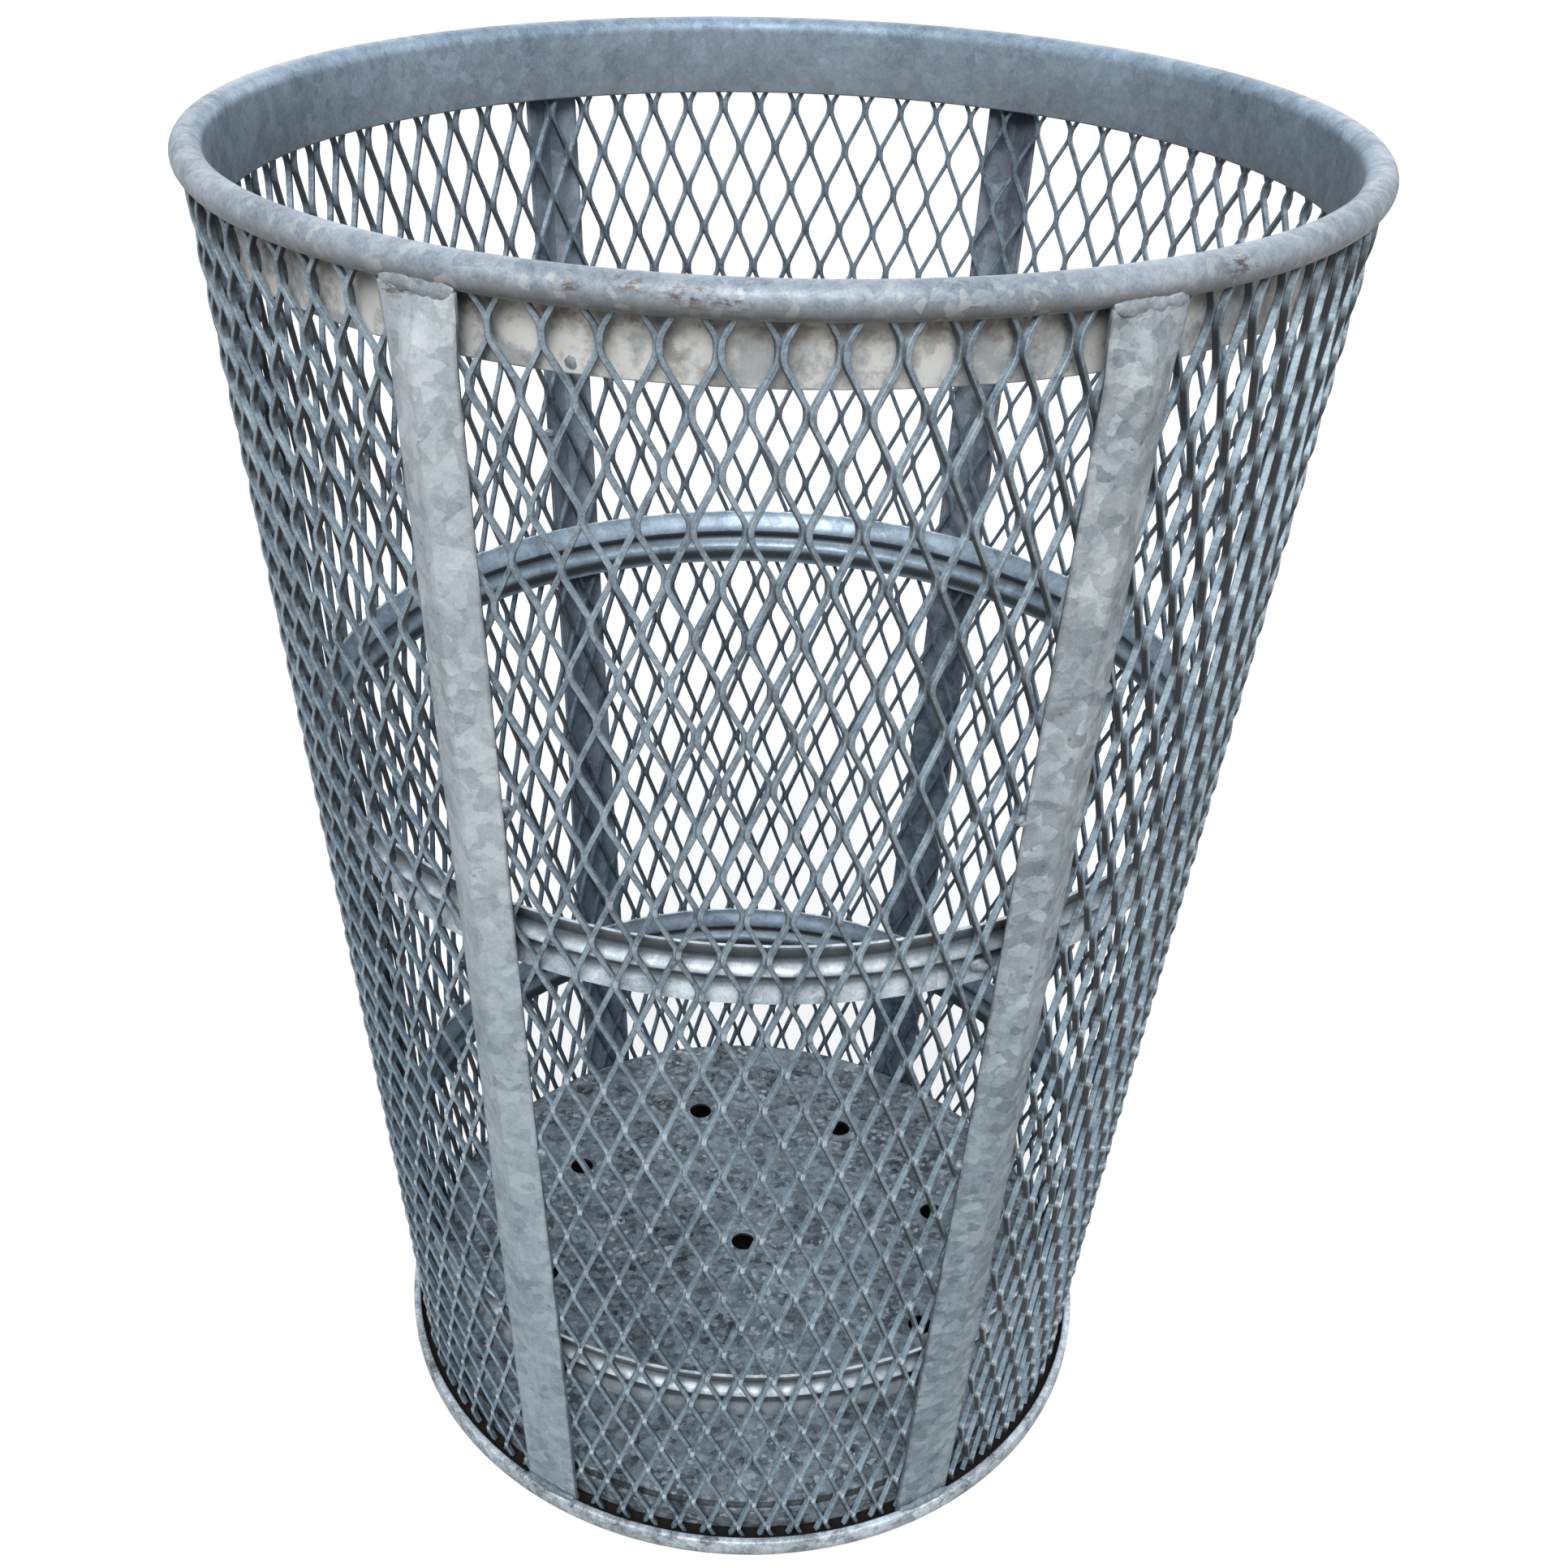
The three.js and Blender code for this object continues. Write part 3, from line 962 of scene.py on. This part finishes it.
# %% [markdown]
# Base ring
#
# The basket stands on a flat bar rolled on edge. A rectangle spun round the axis gives the bar, and a
# bevel on its four long edges takes off the sharpness that no galvanised bar has.

# %% Base ring
RING_EDGE = 1.4
RING_EDGE_SEGMENTS = 3
RING_CORNER = math.radians(60)

ring_section = [
    (ring_inner, 0.0),
    (RING_RADIUS, 0.0),
    (RING_RADIUS, RING_HEIGHT),
    (ring_inner, RING_HEIGHT),
]
ring = turned(ring_section)
bmesh.ops.remove_doubles(ring, verts=ring.verts, dist=MERGE * MM)
bmesh.ops.bevel(
    ring,
    geom=[edge for edge in ring.edges if edge.calc_face_angle(0) > RING_CORNER],
    offset=RING_EDGE * MM,
    segments=RING_EDGE_SEGMENTS,
    profile=0.5,
    affect="EDGES",
    material=-1,
)
finish_piece("base_ring_bar", ring, ring_zinc, "ring", "base_ring")

# %% [markdown]
# Path of a strand
#
# Expanded metal is one sheet, slit in rows and pulled open. Each strand is a flat ribbon that runs from top
# to bottom and swings from side to side, joined to its left and its right neighbour in turn. The joints are
# called bonds. A strand runs straight between two bonds and bends a little at the ends of each, so its path
# is a list of heights with the swing at each.

# %% Path of a strand
BOND_ROWS = 32
BOND_HALF = 1.5
BOND_GROWTH = 1.3
BOND_GROWTH_RANGE = (150.0, 700.0)
TOP_BOND_GROWTH = 1.7
TOP_BOND_RANGE = (790.0, 812.0)
BOND_ROUNDING = 0.75
BEND_SHARES = (1, 1 / 3, -1 / 3, -1)
MESH_TUCK = 1.0
MESH_FOOT = 6.0

mesh_top = bead_foot + MESH_TUCK


def smooth(value, low, high):
    """0 below low, 1 above high, and smooth in between."""
    share = min(1.0, max(0.0, (value - low) / (high - low)))
    return share * share * (3 - 2 * share)


def bond_half(z):
    """Half a bond's length; the sheet is pulled open more towards the top, most of all in its first row."""
    growth = BOND_GROWTH * smooth(z, *BOND_GROWTH_RANGE)
    return BOND_HALF + growth + TOP_BOND_GROWTH * smooth(z, *TOP_BOND_RANGE)


def swing_at(distance, half):
    """A strand's swing at a distance from a bond's middle: 1 along the bond and -1 along the next."""
    slope = 1 / (BOND_PITCH / 2 - half)
    corner = BOND_ROUNDING * half
    past = max(0.0, abs(distance) - half + corner)
    bend = min(past, 2 * corner)
    return 1 - slope * (bend**2 / (4 * corner) + past - bend)


def strand_levels():
    """(height, swing) from top to bottom, for a strand whose first bond swings towards +1."""
    levels = [(mesh_top, swing_at(mesh_top - FIRST_BOND, bond_half(FIRST_BOND)))]
    for row in range(BOND_ROWS):
        side = 1 if row % 2 == 0 else -1
        bond = FIRST_BOND - row * BOND_PITCH
        half = bond_half(bond)
        steps = [half * (1 + share * BOND_ROUNDING) for share in BEND_SHARES]
        for step in steps + [-step for step in reversed(steps)]:
            levels.append((bond + step, side * swing_at(step, half)))
    levels.append((MESH_FOOT, side * swing_at(bond - MESH_FOOT, half)))
    return levels


levels = strand_levels()
print("points on a strand's path:", len(levels))

# %% [markdown]
# Expanded-metal wall
#
# Pulling the sheet open turns the ribbons on edge, so their broad faces look sideways and the mesh stands
# thicker than its sheet. One box, cut across at every level of the path, is bent to each strand in turn, and
# a little noise keeps the strands from being perfectly even.

# %% Expanded-metal wall
RIBBONS = 156
RIBBON_WIDTH = 3.5
RIBBON_SHEET = 2.8
RIBBON_EDGE = 0.4
BOND_OVERLAP = 0.92
TURN_TOP = math.radians(0.5)
TURN_FOOT = math.radians(2.8)
WAVER = 0.35
WAVES_PER_METRE = 25
UPRIGHT_RISE = 0.5


def upright(edges):
    """The edges whose ends lie at clearly different heights."""
    return [edge for edge in edges if abs(edge.verts[0].co.z - edge.verts[1].co.z) > UPRIGHT_RISE]


def straight_ribbon():
    """A box with one cross cut at each level; its length runs along z, one unit for each level."""
    bm = bmesh.new()
    length = len(levels) - 1
    bmesh.ops.create_cube(bm, size=1.0)
    bmesh.ops.scale(bm, verts=bm.verts, vec=(RIBBON_WIDTH, RIBBON_SHEET, length))
    bmesh.ops.translate(bm, verts=bm.verts, vec=(0, 0, length / 2))
    bmesh.ops.bevel(
        bm,
        geom=upright(bm.edges),
        offset=RIBBON_EDGE,
        segments=1,
        profile=0.5,
        affect="EDGES",
        material=-1,
    )
    bmesh.ops.subdivide_edges(bm, edges=upright(bm.edges), cuts=length - 1, use_grid_fill=True)
    mesh = bpy.data.meshes.new("straight_ribbon")
    bm.to_mesh(mesh)
    bm.free()
    return mesh


def bend_ribbon(corners, number):
    """Moves a straight ribbon's corners on to the path of the strand with this number."""
    side = 1 if number % 2 == 0 else -1
    for corner in corners:
        across, through, level = corner.co
        z, swing = levels[len(levels) - 1 - round(level)]
        radius = wall_outer(z) - WALL / 2
        spacing = math.tau * radius / RIBBONS
        cosine = RIBBON_WIDTH / spacing
        sine = math.sqrt(1 - cosine**2)
        offset = side * swing * BOND_OVERLAP * spacing * sine / 2 + through
        sideways = across * cosine - offset * sine
        outwards = across * sine + offset * cosine
        turn = TURN_FOOT + (TURN_TOP - TURN_FOOT) * z / HEIGHT
        azimuth = turn + math.tau * (number + 0.5) / RIBBONS + sideways / radius
        place = at(azimuth, radius + outwards, z)
        waver = WAVER * noise.noise(place * WAVES_PER_METRE)
        corner.co = at(azimuth + waver / radius, radius + outwards, z)


ribbon_mesh = straight_ribbon()
panel_ribbons = RIBBONS // RIB_COUNT
for panel in range(RIB_COUNT):
    wall = bmesh.new()
    for i in range(panel_ribbons):
        before = len(wall.verts)
        wall.from_mesh(ribbon_mesh)
        wall.verts.ensure_lookup_table()
        bend_ribbon(wall.verts[before:], panel * panel_ribbons - panel_ribbons // 2 + i)
    finish_piece(f"mesh_strands_{panel + 1}", wall, mesh_zinc, "mesh", f"mesh_panel_{panel + 1}")

# %% [markdown]
# Ribs
#
# A rib is a flat strip folded lengthways to a blunt V. The fold dies out towards the foot, where the strip
# lies flat inside the ring. The sheet's width stays the same, so the edges draw in where the fold is high.
# A grid gives the outer skin, with its columns bunched at the crease. Its points are moved to the folded
# shape, and Solidify adds the sheet.

# %% Ribs
RIB_WIDTH = 38.0
RIB_FOLD = 8.0
RIB_TOP_FOLD = 1.0
RIB_FOOT = 1.0
RIB_TUCK = 0.5
RIB_FLAT_FOOT = 24.0
RIB_FULL_FOLD = 420.0
RIB_TOP_FADE = 30.0
RIB_SOFTNESS = 0.05
# Degrees at the foot and at the top, by the rib's number.
RIB_LEANS = {0: (1.0, -0.7), 5: (-0.2, 2.0)}
RIB_ACROSS = 18
RIB_ALONG = 90
RIB_BUNCHING = 1.5
RIB_WAVE = 0.2
WAVES_ACROSS = 1.5
WAVES_ALONG = 0.012
RIB_EDGE = 0.5
RIB_EDGE_SEGMENTS = 2

rib_top = bead_foot + RIB_TUCK


def fold_at(z):
    """How high a rib's fold stands at a height."""
    rising_fold = RIB_FOLD * smooth(z, RIB_FLAT_FOOT, RIB_FULL_FOLD)
    fading = smooth(z, rib_top - RIB_TOP_FADE, rib_top)
    return rising_fold + (RIB_TOP_FOLD - rising_fold) * fading


def half_chord(z):
    """Half the straight distance between a rib's two edges."""
    return math.sqrt((RIB_WIDTH / 2) ** 2 - fold_at(z) ** 2)


def crest_at(across):
    """The fold's share at a place across the strip, from 0 at its edges to 1 on its rounded crest."""
    edge = math.hypot(1.0, RIB_SOFTNESS)
    return (edge - math.hypot(across, RIB_SOFTNESS)) / (edge - RIB_SOFTNESS)


def rib_middle(number, z):
    """The azimuth of a rib's middle line; two ribs were welded on up to a centimetre askew."""
    foot, top = RIB_LEANS.get(number, (0.0, 0.0))
    return math.tau * (number + 0.5) / RIB_COUNT + math.radians(foot + (top - foot) * z / HEIGHT)


def rib_skin(number):
    """The outer skin of the rib with this number."""
    bm = bmesh.new()
    bmesh.ops.create_grid(bm, x_segments=RIB_ACROSS, y_segments=RIB_ALONG, size=1.0)
    from_crease = bm.verts.layers.float.new("across")
    for corner in bm.verts:
        column, along, _ = corner.co
        across = math.copysign(abs(column) ** RIB_BUNCHING, column)
        corner[from_crease] = abs(across)
        z = RIB_FOOT + (along + 1) / 2 * (rib_top - RIB_FOOT)
        fold = fold_at(z)
        wave = RIB_WAVE * noise.noise(Vector((across * WAVES_ACROSS, z * WAVES_ALONG, number)))
        raised = fold * crest_at(across) + wave * fold / RIB_FOLD
        azimuth = rib_middle(number, z) + across * half_chord(z) / wall_outer(z)
        corner.co = at(azimuth, wall_outer(z) + CLEARANCE + RIB_SHEET + raised, z)
    return bm


for i in range(RIB_COUNT):
    rib = finish_piece(f"rib_sheet_{i + 1}", rib_skin(i), rib_zinc, "rib", f"rib_{i + 1}")
    middle = rib.data.polygons[len(rib.data.polygons) // 2]
    rib_sheet = rib.modifiers.new("sheet", "SOLIDIFY")
    rib_sheet.thickness = RIB_SHEET * MM
    # The sheet grows inwards from the skin, whichever way the skin's faces look.
    rib_sheet.offset = -1.0 if middle.normal.dot(middle.center) > 0 else 1.0
    rib_edge = rib.modifiers.new("edge", "BEVEL")
    rib_edge.width = RIB_EDGE * MM
    rib_edge.segments = RIB_EDGE_SEGMENTS

# %% [markdown]
# Welds
#
# A weld is a run of overlapping drops. A round bar, cut across many times, is swollen and pinched along its
# length for the drops, roughened with noise, and laid in the corner that it fills.

# %% Welds
WELD_SIDES = 14
WELD_CUTS = 40
WELD_FULLNESS = 0.85
WELD_END = 0.12
WELD_END_POWER = 5
DROP_PITCH = 4.6
DROP_SWELL = 0.045
LUMP_SWELL = 0.35
LUMPS_ALONG = 0.16
LUMPS_ROUND = 0.8
WELD_SEED = 3.0
RIM_WELD = {"length": 37.0, "depth": 2.7, "rise": 4.6}
RIM_WELD_SINK = 0.6
RIM_WELD_LIFT = 0.6
BASE_WELD = {"length": 38.0, "depth": 2.8, "rise": 3.2}
BASE_WELD_OUT = 2.2
BASE_WELD_LIFT = 1.2


def weld_run(azimuth, radius, height, length, depth, rise, seed):
    """A weld along the wall: its middle, its length, and its half sizes outwards and upwards."""
    bm = bmesh.new()
    bmesh.ops.create_cone(bm, cap_ends=True, segments=WELD_SIDES, radius1=1.0, radius2=1.0, depth=2.0)
    bmesh.ops.subdivide_edges(bm, edges=upright(bm.edges), cuts=WELD_CUTS, use_grid_fill=True)
    for corner in bm.verts:
        out, up, along = corner.co
        run = along * length / 2
        drops = DROP_SWELL * math.cos(math.tau * run / DROP_PITCH)
        lump_place = Vector((run * LUMPS_ALONG, out * LUMPS_ROUND + seed, up * LUMPS_ROUND))
        lumps = LUMP_SWELL * noise.noise(lump_place)
        ends = math.sqrt(max(WELD_END, 1 - abs(along) ** WELD_END_POWER))
        swell = (WELD_FULLNESS + drops + lumps) * ends
        corner.co = at(azimuth + run / radius, radius + out * swell * depth, height + up * swell * rise)
    return bm


rim_weld_place = (wall_outer(rib_top) + RIB_SHEET - RIM_WELD_SINK, rib_top + RIM_WELD_LIFT)
base_weld_place = (wall_outer(RING_HEIGHT) + RIB_SHEET + BASE_WELD_OUT, RING_HEIGHT + BASE_WELD_LIFT)
for i in range(RIB_COUNT):
    bm = weld_run(rib_middle(i, HEIGHT), *rim_weld_place, **RIM_WELD, seed=WELD_SEED * i)
    finish_piece(f"rim_weld_run_{i + 1}", bm, weld_zinc, "weld", f"rim_weld_{i + 1}")
    bm = weld_run(rib_middle(i, 0.0), *base_weld_place, **BASE_WELD, seed=WELD_SEED * (i + 0.5))
    finish_piece(f"base_weld_run_{i + 1}", bm, weld_zinc, "weld", f"base_weld_{i + 1}")

# %% [markdown]
# Tacks
#
# Short tacks hold the ribs' edges to the strands and the hoops to the wall. Each is a lump a few
# millimetres wide: a small ball, pushed about by noise and flattened against the wall. The ones beside the
# two front ribs sit where they were welded, and the other sixths of the basket get the same ones.

# %% Tacks
# Each tack has its half sizes along the wall, outwards and upwards. A rib's tacks have a side and a height.
RIB_TACK = (3.6, 2.4, 2.8)
RIB_TACKS = ((-1, 644.0), (1, 578.0), (1, 341.0), (-1, 190.0))
RIB_TACK_OUT = 0.8
RIB_TACK_SEED = 7.0
PLUG_WELD = (2.6, 0.9, 2.6)
PLUG_AZIMUTH = math.radians(-15.9)
PLUG_HEIGHT = 802.0
PLUG_SEED = 2.0
HOOP_TACK = (5.5, 3.0, 3.8)
HOOP_TACK_AZIMUTH = math.radians(25.5)
HOOP_TACK_HEIGHT = 483.0
HOOP_TACK_SEED = 5.0
BALL_STEPS = 3
TACK_LUMP = 0.45
TACK_LUMPS = 1.3


def tack(bm, azimuth, radius, height, sizes, seed):
    """Adds one tack to a bmesh."""
    ball = bmesh.ops.create_icosphere(bm, subdivisions=BALL_STEPS, radius=1.0)
    for corner in ball["verts"]:
        lump = 1 + TACK_LUMP * noise.noise(corner.co * TACK_LUMPS + Vector((seed, 0, 0)))
        along, out, up = (lump * share * size for share, size in zip(corner.co, sizes))
        corner.co = at(azimuth + along / radius, radius + out, height + up)


tacks = bmesh.new()
hoop_tack_radius = wall_inner(HOOP_TACK_HEIGHT)
for i in range(RIB_COUNT):
    facing = 1 if math.sin(rib_middle(i, 0.0)) < 0 else -1
    for side, z in RIB_TACKS:
        azimuth = rib_middle(i, z) + facing * side * half_chord(z) / wall_outer(z)
        tack(tacks, azimuth, wall_outer(z) + RIB_TACK_OUT, z, RIB_TACK, seed=RIB_TACK_SEED * i + z)
    sector = math.tau * i / RIB_COUNT
    tack(tacks, sector + PLUG_AZIMUTH, collar_outer, PLUG_HEIGHT, PLUG_WELD, seed=PLUG_SEED * i)
    hoop_azimuth = sector + HOOP_TACK_AZIMUTH
    tack(tacks, hoop_azimuth, hoop_tack_radius, HOOP_TACK_HEIGHT, HOOP_TACK, seed=HOOP_TACK_SEED * i)
finish_piece("rib_tacks", tacks, weld_zinc, "weld")

# %% [markdown]
# Floor
#
# A pale floor shows the basket's shadow. It gives back less light than it shows, because the undersides
# would otherwise be as bright as the upper sides. Inside the ring, under the plate, the floor is painted
# dark as painted shade.

# %% Floor
FLOOR_RADIUS = 30.0
FLOOR_SIDES = 64
FLOOR_SHOWN = (0.92, 0.92, 0.92, 1.0)
FLOOR_GLOW = 0.7
FLOOR_BOUNCE = (0.12, 0.11, 0.10, 1.0)
# Painted shade: the floor inside the ring.
FLOOR_PAINTED_SHADE = (0.025, 0.022, 0.02, 1.0)
WHITE = (1.0, 1.0, 1.0, 1.0)


def seen_rays(tree):
    """1 for the rays that show a thing to the camera, straight or in a reflection, and 0 for its light."""
    rays = tree.nodes.new("ShaderNodeLightPath")
    seen = Value(tree, rays.outputs["Is Camera Ray"])
    for kind in ("Is Glossy Ray", "Is Transmission Ray"):
        seen = seen.math("ADD", seen, Value(tree, rays.outputs[kind]), clamp=True)
    return seen


stage = bmesh.new()
bmesh.ops.create_circle(stage, cap_ends=True, segments=FLOOR_SIDES, radius=FLOOR_RADIUS)
floor_mesh = bpy.data.meshes.new("floor")
stage.to_mesh(floor_mesh)
stage.free()
floor = bpy.data.objects.new("floor", floor_mesh)
bpy.context.scene.collection.objects.link(floor)

floor_material = bpy.data.materials.new("floor")
floor_material.use_nodes = True
floor_tree = floor_material.node_tree
floor_tree.nodes.clear()
floor_place = Value(floor_tree, floor_tree.nodes.new("ShaderNodeTexCoord").outputs["Object"])
outside = floor_place.from_axis().between(ring_inner * MM, RING_RADIUS * MM)
seen = seen_rays(floor_tree) * outside
lit = seen.node("ShaderNodeBsdfDiffuse", {}, {"Color": FLOOR_SHOWN})
white = seen.node("ShaderNodeEmission", {}, {"Color": WHITE})
shown = seen.node("ShaderNodeMixShader", {}, {0: FLOOR_GLOW, 1: lit, 2: white})
bounced = seen.node("ShaderNodeBsdfDiffuse", {}, {"Color": outside.tint(FLOOR_PAINTED_SHADE, FLOOR_BOUNCE)})
mixed = seen.node("ShaderNodeMixShader", {}, {0: seen, 1: bounced, 2: shown})
floor_output = floor_tree.nodes.new("ShaderNodeOutputMaterial")
floor_tree.links.new(mixed.socket, floor_output.inputs["Surface"])
floor_mesh.materials.append(floor_material)
print("floor radius:", FLOOR_RADIUS, "m")

# %% [markdown]
# Light
#
# Grey steel needs little more than a soft sky. The sky is brighter overhead, as outdoors, and looks white
# behind the basket. A very soft sun from the front shapes the folds, with a weak fill from behind.

# %% Light
ZENITH = (0.58, 0.68, 0.80, 1.0)
HORIZON = (0.04, 0.04, 0.04, 1.0)
SKY_RISE = (0.0, 0.9)
SUN_STRENGTH = 3.7
SUN_SPREAD = math.radians(38)
SUN_TILT = (math.radians(42), math.radians(-4), 0.0)
FILL_STRENGTH = 1.1
FILL_SPREAD = math.radians(70)
FILL_TILT = (math.radians(-68), 0.0, 0.0)

world = bpy.data.worlds.new("sky")
bpy.context.scene.world = world
world.use_nodes = True
sky = world.node_tree.nodes["Background"]
heading = world.node_tree.nodes.new("ShaderNodeTexCoord")
sky_height = Value(world.node_tree, heading.outputs["Generated"]).part("Z")
sky_light = sky_height.between(*SKY_RISE).tint(HORIZON, ZENITH)
feed(sky, Color=seen_rays(world.node_tree).tint(sky_light, WHITE))

for name, strength, spread, tilt in (
    ("sun", SUN_STRENGTH, SUN_SPREAD, SUN_TILT),
    ("fill", FILL_STRENGTH, FILL_SPREAD, FILL_TILT),
):
    lamp_data = bpy.data.lights.new(name, "SUN")
    lamp_data.energy = strength
    lamp_data.angle = spread
    lamp = bpy.data.objects.new(name, lamp_data)
    bpy.context.scene.collection.objects.link(lamp)
    lamp.rotation_euler = tilt
bpy.context.scene.view_settings.view_transform = "Standard"
print("lamps:", len(bpy.data.lights))
